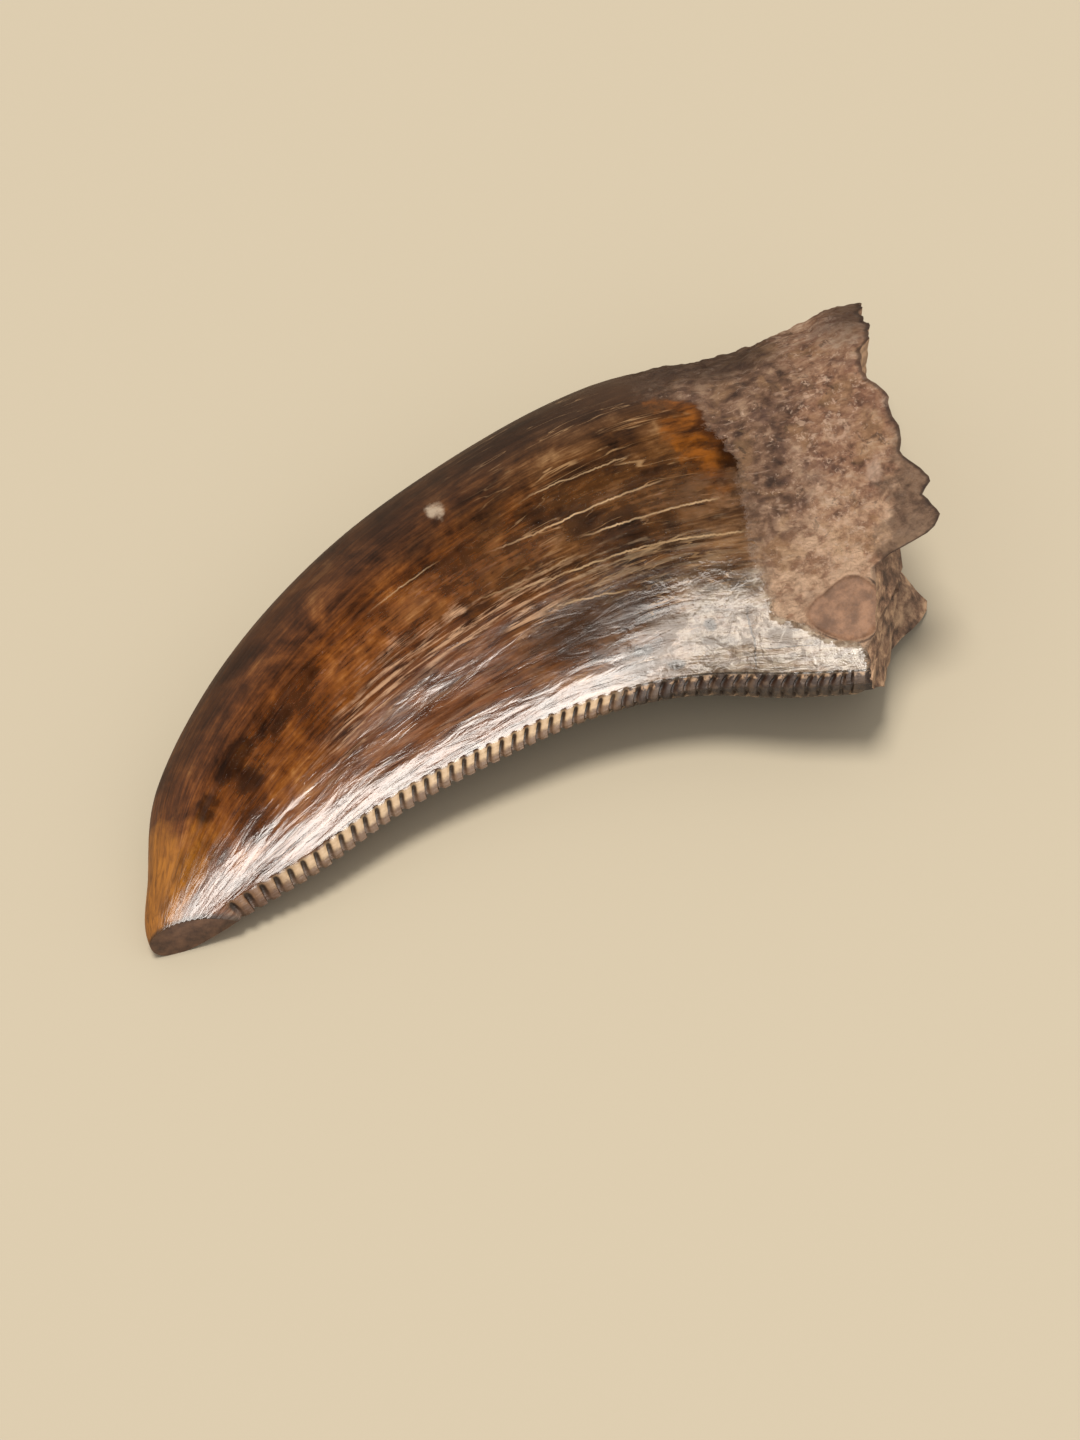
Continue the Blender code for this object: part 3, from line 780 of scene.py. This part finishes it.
def film_dirt(box, skin):
    """Fine crazing and grime in the pale film near the root."""
    bend = box.node("TexNoise", {"Vector": skin.place, "Scale": 1.4}).outputs["Color"]
    bent = box.node("VectorMath", {0: skin.place, 1: bend}).outputs[0]
    cells = box.node("TexVoronoi", {"Vector": bent, "Scale": 0.8}, feature="DISTANCE_TO_EDGE")
    craze = box.between(cells.outputs["Distance"], 0.05, 0.01)
    craze = box.times(craze, box.between(box.noise(skin.place, 0.8), 0.42, 0.6))
    grime = box.between(box.noise(bent, 1.0, 6.0, 0.7, 0.4), 0.50, 0.58)
    streaks = box.between(skin.fibres(0.55, 2.2, 5.0, 0.7, 0.6), 0.53, 0.62)
    streaks = box.times(streaks, box.between(skin.t, 7.5, 6.9))
    where = box.times(box.between(skin.t, 6.0, 6.8), box.between(skin.turn, 0.40, 0.30))
    return box.times(box.most([craze, grime, streaks]), where)


def pale_film_and_painted_sheen(box, skin, colour, dirt):
    """A thin pale film beside the denticles, which widens towards the root; in part it is a painted sheen,
    the highlight along the denticles and at the crown's base.
    """
    wander = box.times(box.minus(skin.fibres(0.4, 2.0, 5.0, 0.6, 0.6), 0.5), 0.35)
    inside = box.minus(box.zone(skin.t, FILM_AND_SHEEN_WIDTH_AT), box.plus(box.times(skin.turn, 0.9), wander))
    film = box.times(box.between(inside, -0.03, 0.06), box.zone(skin.t, FILM_AND_SHEEN_STRENGTH_AT))
    scratches = skin.fibres(1.1, 2.6, 5.0, 0.7, 0.5)
    whole = box.between(box.plus(scratches, skin.crumbs), 0.36, 0.62, 0.35, 1.0)
    film_and_sheen_tint = box.mix(box.between(skin.t, 6.6, 7.2), (196, 170, 146), (194, 180, 161))
    # The film's pale colour: partly a real pale film, partly a painted highlight.
    colour = box.mix(box.times(film, whole), colour, film_and_sheen_tint)
    colour = box.stain(colour, dirt, 0.7, (86, 68, 52))
    return box.stain(colour, skin.dim, 0.7, (50, 34, 24))


def enamel_stains(box, skin, colour):
    """The amber tip, the rust patch and the dark spots."""
    at_tip = box.between(skin.drifted(skin.t, 1.4), 2.75, 2.25)
    at_side = box.between(skin.drifted(skin.turn, 0.12), 0.43, 0.50)
    amber = box.between(skin.fibres(0.5, 1.5, 6.0, 0.66, 0.8), 0.28, 0.68)
    amber = box.mix(amber, (96, 55, 12), (164, 104, 28))
    colour = box.stain(colour, box.times(at_tip, at_side), 0.94, amber)

    rough = skin.crumbled(box.times(skin.drift, 5.0), 2.0)
    rust = box.between(skin.fibres(0.7, 2.6, 5.0, 0.65), 0.32, 0.68)
    rust = box.mix(rust, (42, 20, 8), (138, 79, 20))
    lip = box.between(skin.crumbled(skin.past, 0.1), -0.13, -0.02)
    rust = box.stain(rust, lip, 0.75, (52, 26, 12))
    colour = box.stain(colour, skin.spot(RUST_SPOT, rough, 0.8, RUST_SLANT), 0.88, rust)
    dark = box.most([skin.spot(place, rough, 1.0) for place in DARK_SPOTS])
    return box.stain(colour, dark, 0.75, (26, 12, 5))


def enamel_damage(box, skin, colour):
    """The pale cracks, the chips, the pale spot and the two dark cracks."""
    cracks = box.most([crack_mask(box, skin, *crack) for crack in CRACKS])
    broken = box.between(skin.fibres(0.6, 0.2), 0.35, 0.6, 0.45, 1.0)
    colour = box.mix(box.times(cracks, broken), colour, (186, 156, 118))

    wander = box.times(skin.drift, 5.0)
    chips = box.most([skin.spot(place, wander) for place in CHIPS])
    colour = box.stain(colour, chips, 0.8, (44, 38, 34))
    pale = skin.spot(PALE_SPOT, box.times(skin.crumbled(wander, 2.0), 1.6), 1.3)
    colour = box.stain(colour, pale, 0.58, (200, 182, 158))

    wander = box.times(skin.drift, SPLIT_WANDER)
    split = line_mask(box, skin.t, SPLIT_T, wander, SPLIT_WIDTH, skin.turn, SPLIT_TURNS)
    wander = box.times(skin.drift, SEAM_WANDER)
    seam = line_mask(box, skin.turn, SEAM_TURN, wander, SEAM_WIDTH, skin.t, SEAM_TS)
    return box.stain(colour, box.most([split, seam]), 0.75, (52, 44, 38))


def denticle_colour(box, skin, colour):
    """Cream denticles with dark gaps, tan at the tip, and dull and brown towards the root."""
    each = box.noise(box.vector(box.times(skin.t, 5.0), 0.0), 1.0, 2.0, 0.6)
    grain = box.noise(skin.place, 4.0, 4.0, 0.65)
    cream = box.mix(grain, (172, 136, 98), (226, 198, 160))
    dull = box.mix(box.between(box.plus(each, skin.crumbs), 0.44, 0.60), (58, 39, 29), (188, 154, 122))
    tan = box.mix(grain, (96, 62, 38), (158, 118, 82))
    late = box.between(skin.t, 6.05, 6.35)
    row = box.mix(box.between(skin.t, 2.9, 2.4), box.mix(late, cream, dull), tan)
    ragged = skin.crumbled(skin.reach, 0.5)
    rim = box.between(box.minus(box.mix_numbers(late, 0.42, 0.68), ragged), -0.12, 0.14)
    row = box.stain(row, rim, 0.85, box.mix(late, (98, 66, 45), EDGE_BROWN))
    on_row = box.times(box.between(ragged, 1.06, 0.84), box.between(skin.t, 1.95, 2.12))
    colour = box.mix(on_row, colour, row)

    slot = box.times(box.between(skin.gap, 0.05, 0.6), box.between(ragged, 0.12, 0.5, 0.4, 1.0))
    colour = box.mix(box.times(slot, box.mix_numbers(late, 0.95, 0.65)), colour, (46, 27, 16))
    line = box.times(box.between(box.off(skin.reach, 1.04), 0.13, 0.02), box.between(skin.t, 6.1, 6.6))
    return box.stain(colour, line, 0.8, (34, 24, 20))


def root_ground(box, skin, tone, near_break, distal):
    """Brown dentine: darker and greyer beside the enamel, warmer at the break, pale on the distal side."""
    rosy = box.between(box.noise(skin.place, 0.8, 5.0, 0.65, 0.4), 0.5, 0.64)
    warm = box.tones(tone, ROOT_STEPS, ROOT_AT_BREAK)
    warm = box.stain(warm, rosy, 0.3, (156, 102, 78))
    grey = box.tones(tone, ROOT_STEPS, ROOT_AT_ENAMEL)
    colour = box.mix(box.between(near_break, 8.05, 8.5), grey, warm)
    pale = box.mix(box.between(tone, 0.40, 0.60), (180, 134, 102), (246, 206, 172))
    colour = box.stain(colour, distal, 0.8, pale)

    hue = box.noise(skin.place, 0.62, 4.0, 0.6, 0.6)
    colour = box.mix(box.between(hue, 0.53, 0.66, 0.0, 0.4), colour, (190, 146, 100))
    colour = box.mix(box.between(hue, 0.47, 0.34, 0.0, 0.4), colour, (114, 83, 74))
    strokes = box.between(skin.fibres(1.4, 6.5, 4.0, 0.6, 0.6), 0.58, 0.66, 0.0, 0.45)
    return box.mix(strokes, colour, (214, 180, 154))


def root_flecks(box, skin, colour, near_break):
    """Pale flecks, and thin pale lines that wind between them."""
    in_belt = box.between(box.off(near_break, 8.55), 0.5, 0.1, 0.0, 0.035)
    flecks = box.between(box.plus(box.noise(skin.place, 2.6, 7.0, 0.8, 0.3), in_belt), 0.58, 0.65)
    colour = box.stain(colour, flecks, 0.8, (226, 192, 166))
    worms = box.off(box.noise(skin.place, 0.42, 4.0, 0.55, 0.2), 0.5)
    gaps = box.between(box.noise(skin.place, 2.4, 4.0, 0.7), 0.46, 0.56)
    worms = box.times(box.between(worms, 0.024, 0.008), gaps)
    belt = box.between(box.off(near_break, 8.6), 0.45, 0.25)
    return box.stain(colour, box.times(worms, belt), 0.65, (228, 190, 162))


def root_colour(box, skin):
    """The bare dentine's colour, with dark pits, a dark prong and corner, and a dark edge at the break that
    is in part painted shade.
    """
    wide = box.noise(skin.place, 0.55, 5.0, 0.66)
    grain = box.noise(skin.place, 2.2, 5.0, 0.62, 0.3)
    tone = box.plus(box.times(wide, 0.56), box.times(grain, 0.46))
    tone = box.plus(tone, box.times(skin.fibres(0.9, 3.0, 5.0, 0.66, 0.5), 0.54))
    tone = box.minus(tone, 0.252)
    near_break = skin.drifted(skin.t, 1.2)
    distal = box.between(skin.drifted(skin.turn, 0.2), 0.46, 0.30)
    colour = root_flecks(box, skin, root_ground(box, skin, tone, near_break, distal), near_break)

    pits = box.between(box.noise(skin.place, 1.5, 6.0, 0.7, 0.5), 0.41, 0.33)
    colour = box.mix(box.times(pits, box.mix_numbers(distal, 0.6, 0.25)), colour, (62, 42, 30))
    prong = box.times(box.between(near_break, 8.92, 9.22), box.between(skin.turn, 1.0, 0.98))
    prong_tone = box.mix(box.between(tone, 0.38, 0.62), (86, 63, 47), (136, 106, 82))
    colour = box.stain(colour, prong, 0.8, prong_tone)
    colour = box.stain(colour, skin.spot(ROOT_FLECK, skin.wander), 0.7, (220, 184, 160))
    corner = box.times(box.between(skin.t, 8.3, 8.85), box.between(skin.turn, 0.60, 0.76))
    colour = box.stain(colour, corner, 0.78, (74, 49, 32))
    # Dark along the broken rim: a worn edge, and in part painted shade of the broken wall's thickness.
    edge = box.between(skin.crumbled(skin.to_rim, 0.05), 0.06, 0.02)
    return box.stain(colour, edge, 0.65, EDGE_BROWN)


def smooth_patch(box, skin, colour):
    """The smooth hollow beside the break, with a thin dark line on its side of the break."""
    reach = skin.drifted(skin.patch, 0.5)
    calm = box.between(box.noise(skin.place, 1.6, 6.0, 0.66), 0.3, 0.7)
    calm = box.mix(calm, (108, 76, 54), (160, 119, 90))
    colour = box.stain(colour, box.between(reach, 2.1, 1.15), 0.45, (214, 176, 146))
    colour = box.mix(box.between(reach, 1.12, 0.92), colour, calm)
    line = box.between(box.off(reach, 1.12), 0.12, 0.02)
    where = box.most([box.between(skin.turn, 0.22, 0.18), box.between(skin.t, 8.72, 8.9)])
    return box.stain(colour, box.times(line, where), 0.75, EDGE_BROWN)


def skin_colour(box, skin, dirt):
    """The enamel to its end and the dentine past it, then the denticles, and dark round the worn tip."""
    enamel = pale_film_and_painted_sheen(box, skin, russet_and_crest_highlight(box, skin, enamel_colour(box, skin)), dirt)
    enamel = enamel_damage(box, skin, enamel_stains(box, skin, enamel))
    root = smooth_patch(box, skin, root_colour(box, skin))
    colour = box.mix(skin.dentine, enamel, root)
    mesial = box.between(skin.drifted(skin.turn, 0.15), 0.62, 0.75)
    shade = box.times(box.zone(skin.t, SHADE_STRENGTH_AT), mesial)
    colour = denticle_colour(box, skin, box.mix(shade, colour, (70, 46, 28)))

    start = [p - o for p, o in zip(FACET_POINT, ORIGIN)]
    from_facet = box.node("VectorMath", {0: skin.place, 1: start}, operation="SUBTRACT").outputs[0]
    height = box.node("VectorMath", {0: from_facet, 1: FACET_NORMAL}, operation="DOT_PRODUCT")
    worn = box.between(skin.crumbled(height.outputs["Value"], 0.1), -0.16, -0.03)
    return box.stain(colour, worn, 0.75, (40, 24, 15))


def skin_relief(box, skin):
    """Fine wrinkles and dents of the enamel, and the dentine's grain."""
    wrinkles = box.minus(skin.fibres(0.5, 2.3, 4.0, 0.55, 1.0), 0.5)
    dents = box.minus(box.noise(skin.place, 1.6, 4.0, 0.6, 0.5), 0.5)
    dents = box.times(dents, box.between(skin.t, 6.2, 7.2, 0.0, 1.3))
    on_enamel = box.bump(box.times(box.plus(wrinkles, dents), box.minus(1.0, skin.dentine)), 0.030)
    grain = box.minus(box.noise(skin.place, 1.7, 8.0, 0.7), 0.5)
    on_root = box.times(skin.dentine, box.between(skin.patch, 0.7, 1.3, 0.12, 1.0))
    return box.bump(box.times(grain, on_root), 0.9, on_enamel)


def skin_material():
    """Enamel under a thin clear coat, where it isn't worn or dirty, and matte dentine."""
    box = Paintbox("fossil skin")
    skin = Skin(box)
    dirt = film_dirt(box, skin)
    normal = skin_relief(box, skin)

    on_band = box.between(skin.reach, 1.02, 0.86)
    to_mesial = box.between(box.off(skin.turn, 0.95), 0.42, 0.22)
    rough = box.between(skin.fibres(0.5, 3.0, 5.0, 0.6), 0.3, 0.7, 0.14, 0.30)
    rough = box.mix_numbers(to_mesial, rough, 0.72)
    rough = box.mix_numbers(on_band, rough, 0.5)
    rough = box.mix_numbers(skin.dentine, rough, box.between(skin.patch, 1.02, 0.9, 0.85, 0.6))

    worn_end = box.between(skin.drifted(skin.past, 0.5), -0.55, -0.1)
    worn_end = box.times(worn_end, box.between(skin.turn, 0.27, 0.34))
    dull_spots = [box.times(skin.dim, 0.7), box.times(dirt, 0.55)]
    bare = box.most([skin.dentine, on_band, to_mesial, worn_end, *dull_spots])
    return box.material_with({
        "Base Color": skin_colour(box, skin, dirt),
        "Roughness": rough,
        "IOR": ENAMEL_IOR,
        "Normal": normal,
        "Coat Weight": box.minus(1.0, bare),
        "Coat Roughness": 0.15,
        "Coat IOR": ENAMEL_IOR,
        "Coat Normal": normal,
    })


def break_material():
    """Broken dentine: matte brown, with painted shade that darkens it deeper into the cavity."""
    box = Paintbox("broken dentine")
    place, depth = box.place(), box.field("depth")
    # Painted shade: the tone falls with depth into the cavity.
    tone = box.minus(box.noise(place, 1.4, 6.0, 0.65), box.times(depth, 0.07))
    layers = box.plus(box.times(depth, 9.0), box.times(box.noise(place, 0.7, 3.0), 7.0))
    layer = box.between(box.math("PINGPONG", layers, 1.0), 0.3, 0.8)
    colour = box.stain(box.tones(tone, BREAK_STEPS, BREAK_TONES), layer, 0.3, (88, 62, 46))
    return box.material_with({
        "Base Color": colour,
        "Roughness": 0.8,
        "Normal": box.bump(box.noise(place, 4.0, 6.0, 0.7), 0.15),
    })


def facet_material():
    """The worn tip: smooth, matte grey-brown."""
    box = Paintbox("worn tip")
    place = box.place()
    return box.material_with({
        "Base Color": box.tones(box.noise(place, 1.8, 5.0, 0.6), FACET_STEPS, FACET_TONES),
        "Roughness": 0.6,
        "Normal": box.bump(box.noise(place, 9.0, 4.0, 0.6), 0.02),
    })


def floor_material():
    """A pale warm floor."""
    return Paintbox("pale floor").material_with({"Base Color": paint(178, 168, 148), "Roughness": 0.9})


# ---- The stage ----

# In the tooth's own millimetres.
CAMERA_PLACE = (-25.57, -59.68, 109.36)
CAMERA_TARGET = (17.27, 0.37, 0.0)
LENS, SENSOR, CLIP_START = 85.0, 36.0, 1.0
FLOOR_SIZE = 3000.0

WARM_WHITE = (1.0, 0.95, 0.88)
# Each panel's azimuth, elevation and distance from the camera's target, its size and its radiance.
PANELS = {
    "band_panel": (2, 39.5, 300, (250, 104), 9.6),
    "base_panel": (-46, 50, 300, (140, 104), 5.0),
    "rim_panel": (150, 12, 400, (500, 50), 0.4),
}
SUN_AZIMUTH, SUN_ELEVATION, SUN_DISTANCE = 205, 80, 400
SUN_STRENGTH, SUN_SPREAD = 3.15, math.radians(20)
SKY_STRENGTH = 0.66


def in_world(place):
    return (Vector(place) - Vector(ORIGIN)) * MM


def aim(obj, place, target):
    """Puts obj at place and turns it to target, its upper side up."""
    start, end = in_world(place), in_world(target)
    obj.location = start
    obj.rotation_euler = (end - start).to_track_quat("-Z", "Y").to_euler()


def placed(name, data):
    """A new object of the scene."""
    obj = bpy.data.objects.new(name, data)
    bpy.context.scene.collection.objects.link(obj)
    return obj


def add_camera():
    camera = placed("camera", bpy.data.cameras.new("camera"))
    camera.data.lens, camera.data.sensor_width = LENS, SENSOR
    camera.data.clip_start = CLIP_START * MM
    aim(camera, CAMERA_PLACE, CAMERA_TARGET)
    bpy.context.scene.camera = camera


def add_light(name, kind, azimuth, elevation, distance):
    """A light that points at the camera's target. azimuth is 0 towards -Y and 90 towards +X."""
    light = placed(name, bpy.data.lights.new(name, kind))
    light.data.color = WARM_WHITE
    a, e = math.radians(azimuth), math.radians(elevation)
    direction = Vector((math.sin(a) * math.cos(e), -math.cos(a) * math.cos(e), math.sin(e)))
    aim(light, Vector(CAMERA_TARGET) + distance * direction, CAMERA_TARGET)
    return light


def add_panel(name, azimuth, elevation, distance, size, radiance):
    """A soft light that only shows as a highlight."""
    light = add_light(name, "AREA", azimuth, elevation, distance)
    light.visible_diffuse = False
    panel = light.data
    panel.shape = "RECTANGLE"
    panel.size, panel.size_y = size[0] * MM, size[1] * MM
    panel.energy = radiance * math.pi * panel.size * panel.size_y


def add_sun():
    """A soft sun, with no highlight of its own."""
    light = add_light("key", "SUN", SUN_AZIMUTH, SUN_ELEVATION, SUN_DISTANCE)
    light.visible_glossy = False
    light.data.energy, light.data.angle = SUN_STRENGTH, SUN_SPREAD


def add_floor():
    half = FLOOR_SIZE / 2 * MM
    corners = [(-half, -half, 0), (half, -half, 0), (half, half, 0), (-half, half, 0)]
    mesh = bpy.data.meshes.new("floor")
    mesh.from_pydata(corners, [], [(0, 1, 2, 3)])
    mesh.materials.append(floor_material())
    floor = placed("floor", mesh)


def add_world():
    """Even light from all over the sky, with no highlight of its own."""
    world = bpy.data.worlds.new("studio")
    bpy.context.scene.world = world
    world.use_nodes = True
    sky = world.node_tree.nodes["Background"]
    sky.inputs["Color"].default_value = (*WARM_WHITE, 1)
    sky.inputs["Strength"].default_value = SKY_STRENGTH
    world.cycles_visibility.glossy = False


def add_tooth():
    mesh = tooth_mesh()
    for material in (skin_material(), break_material(), facet_material()):
        mesh.materials.append(material)
    tooth = placed("tooth_fine", mesh)
    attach(tooth, "root")
    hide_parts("tooth")


bpy.context.scene.view_settings.view_transform = "Standard"
add_camera()
add_world()
add_floor()
for name, values in PANELS.items():
    add_panel(name, *values)
add_sun()
add_tooth()
